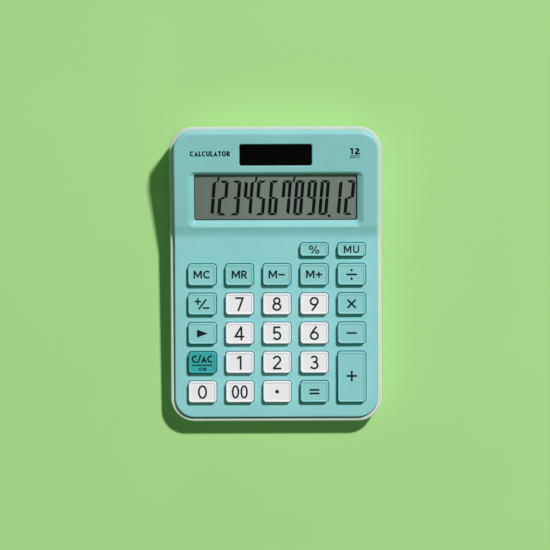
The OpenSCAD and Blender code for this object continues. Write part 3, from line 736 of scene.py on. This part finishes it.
# ---- lower case
def build_bottom_case():
    s = Shell()
    outline = centred(CASE_W, CASE_L, RIM_R, CORNER_STEPS, SIDE_YS)
    # the parting gap round the top case is wider at the front
    groove = inset(
        centred(TOP_W, TOP_L, TOP_R, CORNER_STEPS, SIDE_YS),
        lambda ny: -0.06 - 0.26 * max(0.0, -ny) ** 2,
    )
    rings = []
    # rounded lower edge, from the flat base to the upright wall
    lower_d, lower_h = 3.0, 6.0
    for back, up in quarter(9):
        rings.append(s.level(inset(outline, lower_d * back), BASE_Z + lower_h * up))
    top_edge = 0.75
    for down, back in quarter(5):
        loop = inset(outline, top_edge * back)
        rings.append(s.level(loop, lambda y: rim_z(y) - top_edge * down))
    inner_edge = 0.12
    for out, down in quarter(3):
        loop = inset(groove, -inner_edge * out)
        rings.append(s.level(loop, lambda y: rim_z(y) - inner_edge * down))
    rings.append(s.level(groove, FLOOR_Z + 0.5))
    rings.append(s.level(inset(groove, 0.5), FLOOR_Z))
    s.bridge_all(rings)
    under_holes, floor_holes = [], []

    def column(stack):
        """Joined rings through a list of (loop, height); gives the first and the last ring."""
        made = [s.level(loop, z) for loop, z in stack]
        s.bridge_all(made)
        return made[0], made[-1]

    def mouth(loop, edge=0.25):
        """The small rounded mouth of a recess in the underside."""
        return [(inset(loop, -edge * out), BASE_Z + edge * up) for out, up in quarter(3)]

    # screw posts, each with a counterbore under its land and a hole through it
    for x, y, z in CASE_SCREWS:
        bore, hole, post = (circle_loop(x, y, r, 28) for r in (2.7, 1.4, 4.1))
        land = z - 2.2
        low, high = column(
            mouth(bore) + [(bore, land), (hole, land), (hole, z), (post, z), (post, FLOOR_Z)]
        )
        under_holes.append(low)
        floor_holes.append(high)
    for x in (-FOOT_X, FOOT_X):
        for y in (-FOOT_Y, FOOT_Y):
            seat = circle_loop(x, y, 4.2, 36)
            low, high = column(mouth(seat) + [(seat, BASE_Z + 0.6)])
            under_holes.append(low)
            s.add(high)

    # recess of the battery cover, the cell's well with slots for its contacts, the screw boss
    cover_roof, well_roof, block_top, screw_x = BASE_Z + 1.4, 5.9, 7.4, 41.5
    cover = centred(30.6, 22.6, 2.3, x=COVER_X, y=BATTERY_Y)
    low, cover_ring = column(mouth(cover) + [(cover, cover_roof)])
    under_holes.append(low)

    # the well is round, with a square slot towards -x
    well_r, slot_x, slot_y = 6.1, 7.4, 1.8
    left = math.sqrt(well_r**2 - slot_y**2)
    well = circle_loop(BATTERY_X, BATTERY_Y, well_r, 48)
    well = [p for p in well if p[0] > BATTERY_X - left + 0.1]
    turn = next(i for i, p in enumerate(well) if p[1] < BATTERY_Y and p[0] < BATTERY_X)
    well[turn:turn] = [
        (BATTERY_X - x, BATTERY_Y + y, -1.0, 0.0)
        for x, y in ((left, slot_y), (slot_x, slot_y), (slot_x, -slot_y), (left, -slot_y))
    ]
    well_low, well_high = column([(well, cover_roof), (well, well_roof)])
    slots = []
    for x0, x1, y0, y1 in ((-7.3, -5.75, -1.7, 1.7), (-1.75, 1.75, 3.85, 4.65)):
        slot = rect_loop(BATTERY_X + x0, BATTERY_X + x1, BATTERY_Y + y0, BATTERY_Y + y1, 0.1, 1)
        slots.append(column([(slot, well_roof), (slot, block_top)]))
    slots_low, slots_high = zip(*slots)
    s.sheet(well_high, slots_low, lambda x, y: well_roof)
    block = circle_loop(BATTERY_X, BATTERY_Y, 8.0, 40)
    block_high, block_foot = column([(block, block_top), (block, FLOOR_Z)])
    s.sheet(block_high, slots_high, lambda x, y: block_top)

    pilot = circle_loop(screw_x, BATTERY_Y, 1.1, 20)
    pilot_low, pilot_end = column([(pilot, cover_roof), (pilot, 6.2)])
    s.add(pilot_end)
    s.sheet(cover_ring, [well_low, pilot_low], lambda x, y: cover_roof)
    boss = circle_loop(screw_x, BATTERY_Y, 2.6, 24)
    boss_high, boss_foot = column([(boss, block_top), (boss, FLOOR_Z)])
    s.add(boss_high)
    floor_holes += [block_foot, boss_foot]
    s.sheet(rings[0], under_holes, lambda x, y: BASE_Z)
    s.sheet(rings[-1], floor_holes, lambda x, y: FLOOR_Z)

    # ribs that carry the lower edge of the top case
    half, rib_foot = 0.6, FLOOR_Z - 0.5
    for y in (-52, -30, -8, 8, 38, 52):
        for side in (-1, 1):
            x0, x1 = sorted((side * 48.6, side * 51.2))
            s.block(FLAT, x0, x1, y - half, y + half, rib_foot, rim_z(y) - LEDGE)
    for x in (-38, -10, 10, 38):
        for side in (-1, 1):
            y0, y1 = sorted((side * 69.35, side * 71.9))
            s.block(FLAT, x - half, x + half, y0, y1, rib_foot, rim_z(y0) - LEDGE - 0.4)
    finish_piece("bottom_case_tray", s, LOOKS["tray"], "case", ["bottom_case"])


# ---- keys
FACE_DIP = 0.3  # how far a key's face lies under its raised border
FACE_W = KEY_TOP - FACE_DIP


def build_key(name):
    s = Shell()
    legend = KEYS[name][2]
    colour = "white" if legend in WHITE_LEGENDS else "teal" if legend == "clear" else "turquoise"
    u, v, l = key_place(name)
    body = centred(KEY_W, l, KEY_R, x=u, y=v)
    flange = centred(KEY_W + 2 * FLANGE_W, l + 2 * FLANGE_W, KEY_R + FLANGE_W, x=u, y=v)
    hollow = centred(KEY_W - 2 * KEY_WALL, l - 2 * KEY_WALL, 0.6, x=u, y=v)

    def ring(loop, w):
        return s.on(DECK, loop, w)

    draft, edge, border, roll = 0.12, 0.5, 0.08, 0.58
    roof = KEY_TOP - KEY_WALL
    rings = [
        ring(hollow, roof), ring(hollow, -KEY_FOOT), ring(flange, -KEY_FOOT),
        ring(flange, -FLANGE_TOP), ring(body, -FLANGE_TOP), ring(body, 0),
    ]
    for down, back in quarter(5):
        rings.append(ring(inset(body, draft + edge * back), KEY_TOP - edge * down))
    # the raised border rolls over into the slightly lower face
    for k in range(1, 6):
        t = k / 5
        drop = FACE_DIP * (t * t * (3 - 2 * t))
        d = draft + edge + border + roll * t
        loop = centred(KEY_W - 2 * d, l - 2 * d, max(KEY_R - d, 0.35), x=u, y=v)
        rings.append(ring(loop, KEY_TOP - drop))
    s.bridge_all(rings)
    s.add(rings[0])
    s.add(rings[-1])
    s.lathe(DECK, u, v, [(PLUNGER_D / 2, -KEY_FOOT), (PLUNGER_D / 2, roof + 0.3)], 20)
    finish_piece(name + "_cap", s, LOOKS[colour], name, [name])


# ---- lettering
def arc(cx, cy, rx, ry, a0, a1, n=14):
    """Points of an elliptical arc, angles in degrees."""
    return [
        (cx + rx * math.cos(a), cy + ry * math.sin(a))
        for a in (math.radians(a0 + (a1 - a0) * i / n) for i in range(n + 1))
    ]


def halves(cx, cy, rx, ry):
    """An ellipse as two open arcs."""
    return [arc(cx, cy, rx, ry, 90, 270, 18), arc(cx, cy, rx, ry, -90, 90, 18)]


def bend(p0, p1, p2, n=8):
    """Points of a quadratic curve."""
    return [
        ((1 - t) ** 2 * p0[0] + 2 * t * (1 - t) * p1[0] + t * t * p2[0],
         (1 - t) ** 2 * p0[1] + 2 * t * (1 - t) * p1[1] + t * t * p2[1])
        for t in (i / n for i in range(n + 1))
    ]


def glyphs(t):
    """Middle lines of every character, one unit high, for strokes t wide: (width, strokes)."""
    b, h = t / 2, 1 - t / 2
    m = 0.525  # waist of the 3 and the 8
    stem = [(b, 0), (b, 1)]
    dash = [(0.02, 0.46), (0.78, 0.46)]
    return {
        "0": (0.66, halves(0.33, 0.5, 0.33 - b, h - 0.5)),
        "1": (0.40, [[(0.02, 0.78), (0.24, 0.955)], [(0.27, 1.0), (0.27, 0)]]),
        "2": (0.64, [
            arc(0.31, 0.70, 0.31 - b, h - 0.70, 168, -38) + [(0.08, b + 0.03)],
            [(0.02, b), (0.63, b)],
        ]),
        "3": (0.64, [
            arc(0.30, (m + h) / 2, 0.275 - b, (h - m) / 2, 158, -90) + [(0.22, m)],
            [(0.22, m)] + arc(0.30, (m + b) / 2, 0.325 - b, (m - b) / 2, 90, -158),
        ]),
        "4": (0.70, [[(0.47, 0.97), (0.045, 0.27), (0.69, 0.27)], [(0.48, 1.0), (0.48, 0)]]),
        "5": (0.64, [
            [(0.57, h), (0.135, h), (0.105, 0.53)],
            [(0.075, 0.475)] + arc(0.315, 0.325, 0.32 - b, 0.325 - b, 128, -152),
        ]),
        "6": (0.66, [
            *halves(0.33, 0.315, 0.33 - b, 0.315 - b),
            bend((0.50, 0.985), (0.22, 0.66), (b + 0.005, 0.37)),
        ]),
        "7": (0.62, [[(0.01, h), (0.555, h), (0.22, 0)]]),
        "8": (0.66, [
            *halves(0.33, (h + m) / 2, 0.27 - b, (h - m) / 2),
            *halves(0.33, (m + b) / 2, 0.33 - b, (m - b) / 2),
        ]),
        "9": (0.66, [
            *halves(0.33, 0.685, 0.33 - b, 0.315 - b),
            bend((0.16, 0.015), (0.44, 0.34), (0.655 - b, 0.63)),
        ]),
        "A": (0.86, [[(b, 0), (0.43, 1 - 2.38 * b), (0.86 - b, 0)], [(0.18, 0.28), (0.68, 0.28)]]),
        "C": (0.86, [arc(0.48, 0.5, 0.48 - b, h - 0.5, 48, 312, 26)]),
        "D": (0.80, [
            stem,
            [(b, h), (0.30, h)] + arc(0.30, 0.5, 0.50 - b, h - 0.5, 90, -90, 18) + [(b, b)],
        ]),
        "G": (0.92, [
            arc(0.48, 0.5, 0.48 - b, h - 0.5, 48, 345, 26),
            [(0.52, 0.46), (0.90, 0.46)],
        ]),
        "I": (t, [stem]),
        "L": (0.56, [[(b, 1), (b, b), (0.55, b)]]),
        "M": (1.0, [
            stem, [(b + 0.02, 0.97), (0.5, 0.26), (0.98 - b, 0.97)], [(1 - b, 0), (1 - b, 1)],
        ]),
        "N": (0.80, [stem, [(b + 0.02, 0.95), (0.78 - b, 0.05)], [(0.8 - b, 0), (0.8 - b, 1)]]),
        "O": (0.98, halves(0.49, 0.5, 0.49 - b, h - 0.5)),
        "R": (0.70, [
            stem,
            [(b, h), (0.36, h)]
            + arc(0.36, (h + 0.46) / 2, 0.30 - b, (h - 0.46) / 2, 90, -90, 12)
            + [(b, 0.46)],
            [(0.33, 0.435), (0.64, 0)],
        ]),
        "S": (0.62, [
            arc(0.31, (h + 0.51) / 2, 0.27 - b, (h - 0.51) / 2, 35, 270, 12)
            + arc(0.31, (b + 0.51) / 2, 0.30 - b, (0.51 - b) / 2, 90, -145, 12)[1:],
        ]),
        "T": (0.70, [[(0, h), (0.70, h)], [(0.35, h), (0.35, 0)]]),
        "U": (0.80, [
            [(b, 1), (b, 0.36)]
            + arc(0.40, 0.36, 0.40 - b, 0.36 - b, 180, 360, 16)
            + [(0.80 - b, 1)],
        ]),
        "+": (0.80, [dash, [(0.40, 0.08), (0.40, 0.84)]]),
        "-": (0.80, [dash]),
        "/": (0.44, [[(0.0, -0.06), (0.44, 1.06)]]),
    }


def stroke_outline(path, width):
    """Closed outline of a polyline drawn with a square-ended pen, with mitred corners."""
    path = [path[0]] + [b for a, b in zip(path, path[1:]) if math.dist(a, b) > 1e-4]
    p = np.array(path, float)
    d = np.diff(p, axis=0)
    d /= np.linalg.norm(d, axis=1)[:, None]
    n = np.stack([-d[:, 1], d[:, 0]], 1)
    left, right = [], []
    for i in range(len(p)):
        if i in (0, len(p) - 1):
            m = n[0 if i == 0 else -1]
        else:
            m = n[i - 1] + n[i]
            m = m / max(np.linalg.norm(m), 1e-9)
            m = m / max(float(m @ n[i]), 0.42)
        left.append(p[i] + m * width / 2)
        right.append(p[i] - m * width / 2)
    return [tuple(q) for q in left + right[::-1]]


def text_outlines(text, x, y, height, width, gap, stretch=1.0):
    """Outlines of a word centred on (x, y)."""
    table = glyphs(width / height)
    total = sum(table[c][0] for c in text) * height * stretch + gap * (len(text) - 1)
    left = x - total / 2
    out = []
    for c in text:
        w, strokes = table[c]
        for path in strokes:
            pts = [(left + px * height * stretch, y - height / 2 + py * height) for px, py in path]
            out.append(stroke_outline(pts, width))
        left += w * height * stretch + gap
    return out


def disc(x, y, r, n=24):
    return [(px, py) for px, py, _, _ in circle_loop(x, y, r, n)]


def bar(x0, y0, x1, y1, width):
    return stroke_outline([(x0, y0), (x1, y1)], width)


# legend: height, stroke, gap between letters, rise over the key's middle, stretch
WORDS = {str(digit): (7.0, 0.93, 0, 0, 1.0) for digit in range(10)}
WORDS |= {
    "00": (6.8, 0.9, 0.75, 0, 0.8),
    "MC": (4.0, 0.8, 0.5, 0.15, 1.08),
    "MR": (4.0, 0.8, 0.5, 0.15, 1.08),
    "M-": (4.0, 0.8, 0.45, 0.15, 1.08),
    "M+": (4.0, 0.8, 0.45, 0.15, 1.08),
    "MU": (3.7, 0.7, 0.85, 0.1, 1.04),
}


def legend_outlines(legend, x, y):
    """Outlines of a key's legend about (x, y)."""
    if legend in WORDS:
        letter_h, stroke, gap, rise, stretch = WORDS[legend]
        return text_outlines(legend, x, y + rise, letter_h, stroke, gap, stretch)
    if legend == "point":
        return [disc(x, y + 0.1, 0.95)]
    if legend == "plus":
        return [bar(x - 2.6, y + 0.5, x + 2.6, y + 0.5, 0.95), bar(x, y - 2.2, x, y + 3.2, 0.95)]
    if legend == "minus":
        return [bar(x - 2.55, y, x + 2.55, y, 0.9)]
    if legend == "equals":
        return [bar(x - 2.5, y + dy, x + 2.5, y + dy, 0.9) for dy in (-0.9, 0.9)]
    if legend == "multiply":
        return [
            bar(x - 2.1, y - 2.1, x + 2.1, y + 2.1, 0.9),
            bar(x - 2.1, y + 2.1, x + 2.1, y - 2.1, 0.9),
        ]
    if legend == "divide":
        dots = [disc(x, y + dy, 0.62) for dy in (2.15, -2.15)]
        return [bar(x - 2.7, y, x + 2.7, y, 0.9), *dots]
    if legend == "arrow":
        return [[(x - 2.65, y - 2.05), (x + 2.75, y), (x - 2.65, y + 2.05)]]
    if legend == "sign":
        return [
            bar(x - 3.8, y + 1.35, x - 0.5, y + 1.35, 0.8),
            bar(x - 2.12, y - 0.3, x - 2.12, y + 3.0, 0.8),
            bar(x - 1.75, y - 2.55, x + 2.1, y + 2.5, 0.85),
            bar(x + 0.4, y - 1.9, x + 3.7, y - 1.9, 0.85),
        ]
    if legend == "percent":
        out = [bar(x - 1.3, y - 2.0, x + 1.3, y + 2.0, 0.6)]
        for cx, cy in ((x - 1.55, y + 0.98), (x + 1.55, y - 0.98)):
            for half in halves(cx, cy, 0.78, 0.82):
                out.append(stroke_outline(half, 0.6))
        return out
    if legend == "clear":
        out = text_outlines("C/AC", x, y + 1.85, 3.7, 0.78, 0.2, stretch=0.9)
        out.append(bar(x - 5.1, y - 1.25, x + 5.1, y - 1.25, 0.6))
        return out + text_outlines("ON", x, y - 3.2, 1.75, 0.46, 0.4, stretch=1.15)
    raise ValueError(legend)


def print_piece(name, outlines, plane, w, body, look="legend", thick=0.03):
    """A layer of ink in the shape of the outlines put together, thick above and below height w."""
    verts, faces = [], []
    for poly in outlines:
        area = sum(a[0] * b[1] - b[0] * a[1] for a, b in zip(poly, poly[1:] + poly[:1]))
        poly = poly if area > 0 else poly[::-1]
        faces.append(list(range(len(verts), len(verts) + len(poly))))
        verts += [Vector(p) for p in poly]
    out_v, _, out_f, _, _, _ = delaunay_2d_cdt(verts, [], faces, 0, 1e-5)
    flat = np.array([(v.x, v.y) for v in out_v])
    tri = np.array([f for f in out_f if len(f) == 3])
    mid = flat[tri].mean(1)
    keep = np.zeros(len(tri), bool)
    for poly in outlines:
        keep |= inside(mid, poly)
    tri = tri[keep]
    s = Shell()
    high = s.ring([plane.at(x, y, w + thick) for x, y in flat])
    low = s.ring([plane.at(x, y, w - thick) for x, y in flat])
    edges = {}  # directed edges in the order they're met; one without its reverse is an outer edge
    for f in tri:
        s.add([high[i] for i in f])
        s.add([low[i] for i in f[::-1]])
        for a, b in zip(f, np.roll(f, -1)):
            edges[(int(a), int(b))] = True
    for a, b in edges:
        if (b, a) not in edges:
            s.add((low[a], low[b], high[b], high[a]))
    finish_piece(name, s, LOOKS[look], body, smooth=30, weighted=False)


# ---- the readout
DIGIT_W, DIGIT_H, DIGIT_PITCH = 4.6, 17.9, 6.35
UPRIGHT_T, LEVEL_T, MIDDLE_T, SEG_GAP = 1.65, 1.3, 1.2, 0.12
SLANT = math.tan(math.radians(4.6))
SEGMENTS = {
    "0": "abcdef", "1": "bc", "2": "abged", "3": "abgcd", "4": "fgbc", "5": "afgcd",
    "6": "acdefg", "7": "fabc", "8": "abcdefg", "9": "abcdfg",
}


def segment_shapes():
    """The seven bars of a digit about its middle, mitred where they meet."""
    w, h, g = DIGIT_W / 2, DIGIT_H / 2, SEG_GAP
    tv, th, tm = UPRIGHT_T, LEVEL_T, MIDDLE_T
    top = [
        (-w + g + 0.25, h), (w - g - 0.25, h),
        (w - tv - g * 0.4, h - th), (-w + tv + g * 0.4, h - th),
    ]
    right = [
        (w, h - g - 0.3), (w, 0.35), (w - tv * 0.4, g), (w - tv * 0.75, g), (w - tv, 0.75),
        (w - tv, h - th - g),
    ]
    middle = [
        (-w + tv * 0.7 + g, 0), (-w + tv + g, tm / 2), (w - tv - g, tm / 2),
        (w - tv * 0.7 - g, 0), (w - tv - g, -tm / 2), (-w + tv + g, -tm / 2),
    ]

    def flip(points, x=1, y=1):
        return [(px * x, py * y) for px, py in points]

    return {
        "a": top, "b": right, "c": flip(right, y=-1), "d": flip(top, y=-1),
        "e": flip(right, -1, -1), "f": flip(right, x=-1), "g": middle,
    }


def build_readout():
    """Twelve digits, the ticks after three of them and the point, as one print."""
    shapes = segment_shapes()
    last_x, mid_v = 37.0, -0.52  # middle of the last digit
    tick = [(2.65, 7.9), (3.4, 7.9), (4.1, 10.75), (2.9, 10.75)]
    outlines = []

    def slanted(points, x):
        return [(x + px + py * SLANT, mid_v + py) for px, py in points]

    text = "123456789012"
    for i, c in enumerate(text):
        x = last_x - (len(text) - 1 - i) * DIGIT_PITCH
        for seg in SEGMENTS[c]:
            outlines.append(slanted(shapes[seg], x))
        if i in (0, 3, 6):
            outlines.append(slanted(tick, x))
        if i == 9:
            outlines.append(slanted(disc(3.2, -9.35, 0.75, 14), x))
    print_piece(
        "lcd_segments", outlines, DISPLAY, 0.015 - LCD_FACE, "case", "lcd_ink", 0.012
    )


def build_painted_shade_border():
    """Black border under the display pane, just showing inside the opening: painted shade standing
    in for the shadowed edge of the opening round the readout.
    """
    s = Shell()
    outer = centred(WINDOW_W + 1.6, WINDOW_L + 1.6, 1.4)
    inner = centred(WINDOW_W - 0.6, WINDOW_L - 0.6, 0.9)
    high, low = -2.61, -2.65
    corners = ((outer, low), (outer, high), (inner, high), (inner, low))
    rings = [s.on(DISPLAY, loop, w) for loop, w in corners]
    s.bridge_all(rings + rings[:1])
    finish_piece("painted_shade_border", s, LOOKS["legend"], "case", weighted=False)


# ---- build everything
build_top_case()
build_bottom_case()
for key_name, (_, _, key_legend) in KEYS.items():
    build_key(key_name)
    key_u, key_v, _ = key_place(key_name)
    key_print = legend_outlines(key_legend, key_u, key_v)
    print_piece(key_name + "_legend", key_print, DECK, FACE_W, key_name)
build_readout()
# the black border under the pane is painted shade round the readout
build_painted_shade_border()
print_piece(
    "deck_print_left", text_outlines("CALCULATOR", -32.8, 22.65, 2.7, 0.66, 0.36, stretch=0.8),
    DISPLAY, 0.0, "case",
)
print_piece(
    "deck_print_right",
    text_outlines("12", 39.6, 23.7, 3.2, 0.85, 0.7, stretch=1.25)
    + [bar(37.1, 21.5, 42.1, 21.5, 0.26)]
    + text_outlines("DIGITS", 39.6, 20.6, 1.05, 0.24, 0.22),
    DISPLAY, 0.0, "case",
)

# ---- pieces shown as their CAD nodes
CAD_LOOKS = {
    "rubber_feet": "feet", "case_screws": "steel", "battery_cover": "tray",
    "battery_cover_screw": "steel", "battery": "battery",
    "battery_contact_negative": "contact", "battery_contact_positive": "contact",
    "battery_leads": "lead", "display_window": "window", "lcd_front_glass": "lcd_ground_painted_shade",
    "lcd_rear_glass": "lcd_ground_painted_shade", "lcd_reflector": "lcd_ground_painted_shade", "lcd_bracket": "bracket",
    "lcd_bracket_screws": "steel", "lcd_ribbon": "ribbon", "solar_window": "smoke",
    "solar_gasket": "foam", "solar_cell": "solar", "solar_leads": "lead", "keypad_mat": "mat",
    "main_pcb": "board", "pcb_key_pads": "carbon", "pcb_screws": "steel", "chip_blob": "epoxy",
    "electrolytic_capacitor": "sleeve", "ceramic_capacitors": "ceramic",
}
# width of the bevel on their edges
ROUNDED = {
    "rubber_feet": 0.5, "battery_cover": 0.25, "battery_cover_screw": 0.12, "case_screws": 0.15,
}
for node_name, look in CAD_LOOKS.items():
    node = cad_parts[node_name]
    node.data.materials.clear()
    node.data.materials.append(LOOKS[look])
    node.data.polygons.foreach_set("use_smooth", [True] * len(node.data.polygons))
    node.data.set_sharp_from_angle(angle=math.radians(30))
    if node_name in ROUNDED:
        mod = node.modifiers.new("soft_edges", "BEVEL")
        mod.width = ROUNDED[node_name] * MM
        mod.segments = 3
        mod.limit_method = "ANGLE"
        mod.angle_limit = math.radians(40)

# ---- floor, light, camera
floor_mesh = bpy.data.meshes.new("floor")
floor_mesh.from_pydata([(-4, -4, 0), (4, -4, 0), (4, 4, 0), (-4, 4, 0)], [], [(0, 1, 2, 3)])
floor = bpy.data.objects.new("floor", floor_mesh)
bpy.context.scene.collection.objects.link(floor)
floor_look = Nodes("floor_paper")
floor_base = linear((172, 219, 142))
floor_cloud = floor_look.span(floor_look.noise(0.01, 3.0), 0, 1)
floor_look.base(floor_cloud, shade(floor_base, 0.985), shade(floor_base, 1.015))
floor_look.bsdf.inputs["Roughness"].default_value = 0.9
floor_look.bsdf.inputs["Specular IOR Level"].default_value = 0.2
floor_mesh.materials.append(floor_look.mat)


def area_light(name, place, target, size, power, colour=(1, 1, 1)):
    """A round light at place, facing target."""
    data = bpy.data.lights.new(name, "AREA")
    data.shape = "DISK"
    data.size = size
    data.energy = power
    data.color = colour
    obj = bpy.data.objects.new(name, data)
    obj.location = place
    obj.rotation_euler = (Vector(target) - Vector(place)).to_track_quat("-Z", "Y").to_euler()
    bpy.context.scene.collection.objects.link(obj)


# the key light comes from the right and the rear, about 48 degrees up
KEY_DIR = Vector((12.8, 17.4, 24.3)).normalized()
KEY_AWAY, KEY_SIZE, KEY_POWER, KEY_COLOUR = 7.0, 0.58, 520, (1.0, 0.965, 1.0)
area_light("key_light", KEY_DIR * KEY_AWAY, (0, 0, 0.01), KEY_SIZE, KEY_POWER, KEY_COLOUR)
FILL_PLACE, FILL_SIZE, FILL_POWER = (-0.6, -4.6, 2.4), 3.0, 30.0
area_light("front_fill", FILL_PLACE, (0, 0, 0), FILL_SIZE, FILL_POWER)

world = bpy.data.worlds.new("studio")
bpy.context.scene.world = world
world.use_nodes = True
sky = world.node_tree.nodes["Background"]  # faint green light off the surroundings
sky.inputs["Color"].default_value = (0.28, 1.0, 0.4, 1)
sky.inputs["Strength"].default_value = 0.1

scene = bpy.context.scene
scene.view_settings.view_transform = "Standard"
camera_data = bpy.data.cameras.new("camera")
camera = bpy.data.objects.new("camera", camera_data)
scene.collection.objects.link(camera)
# the camera looks straight down, and sees VIEW_W at the height RIM_H
CAMERA_H, RIM_H, VIEW_W, SENSOR_W = 1.313, 0.014, 0.2770, 36
camera_data.sensor_width = SENSOR_W
camera_data.lens = SENSOR_W * (CAMERA_H - RIM_H) / VIEW_W
camera_data.clip_start = 0.05
camera_data.clip_end = 20
camera.location = (-0.00048, -0.00023, CAMERA_H)
camera.rotation_euler = (0, 0, math.radians(-0.2))
scene.camera = camera
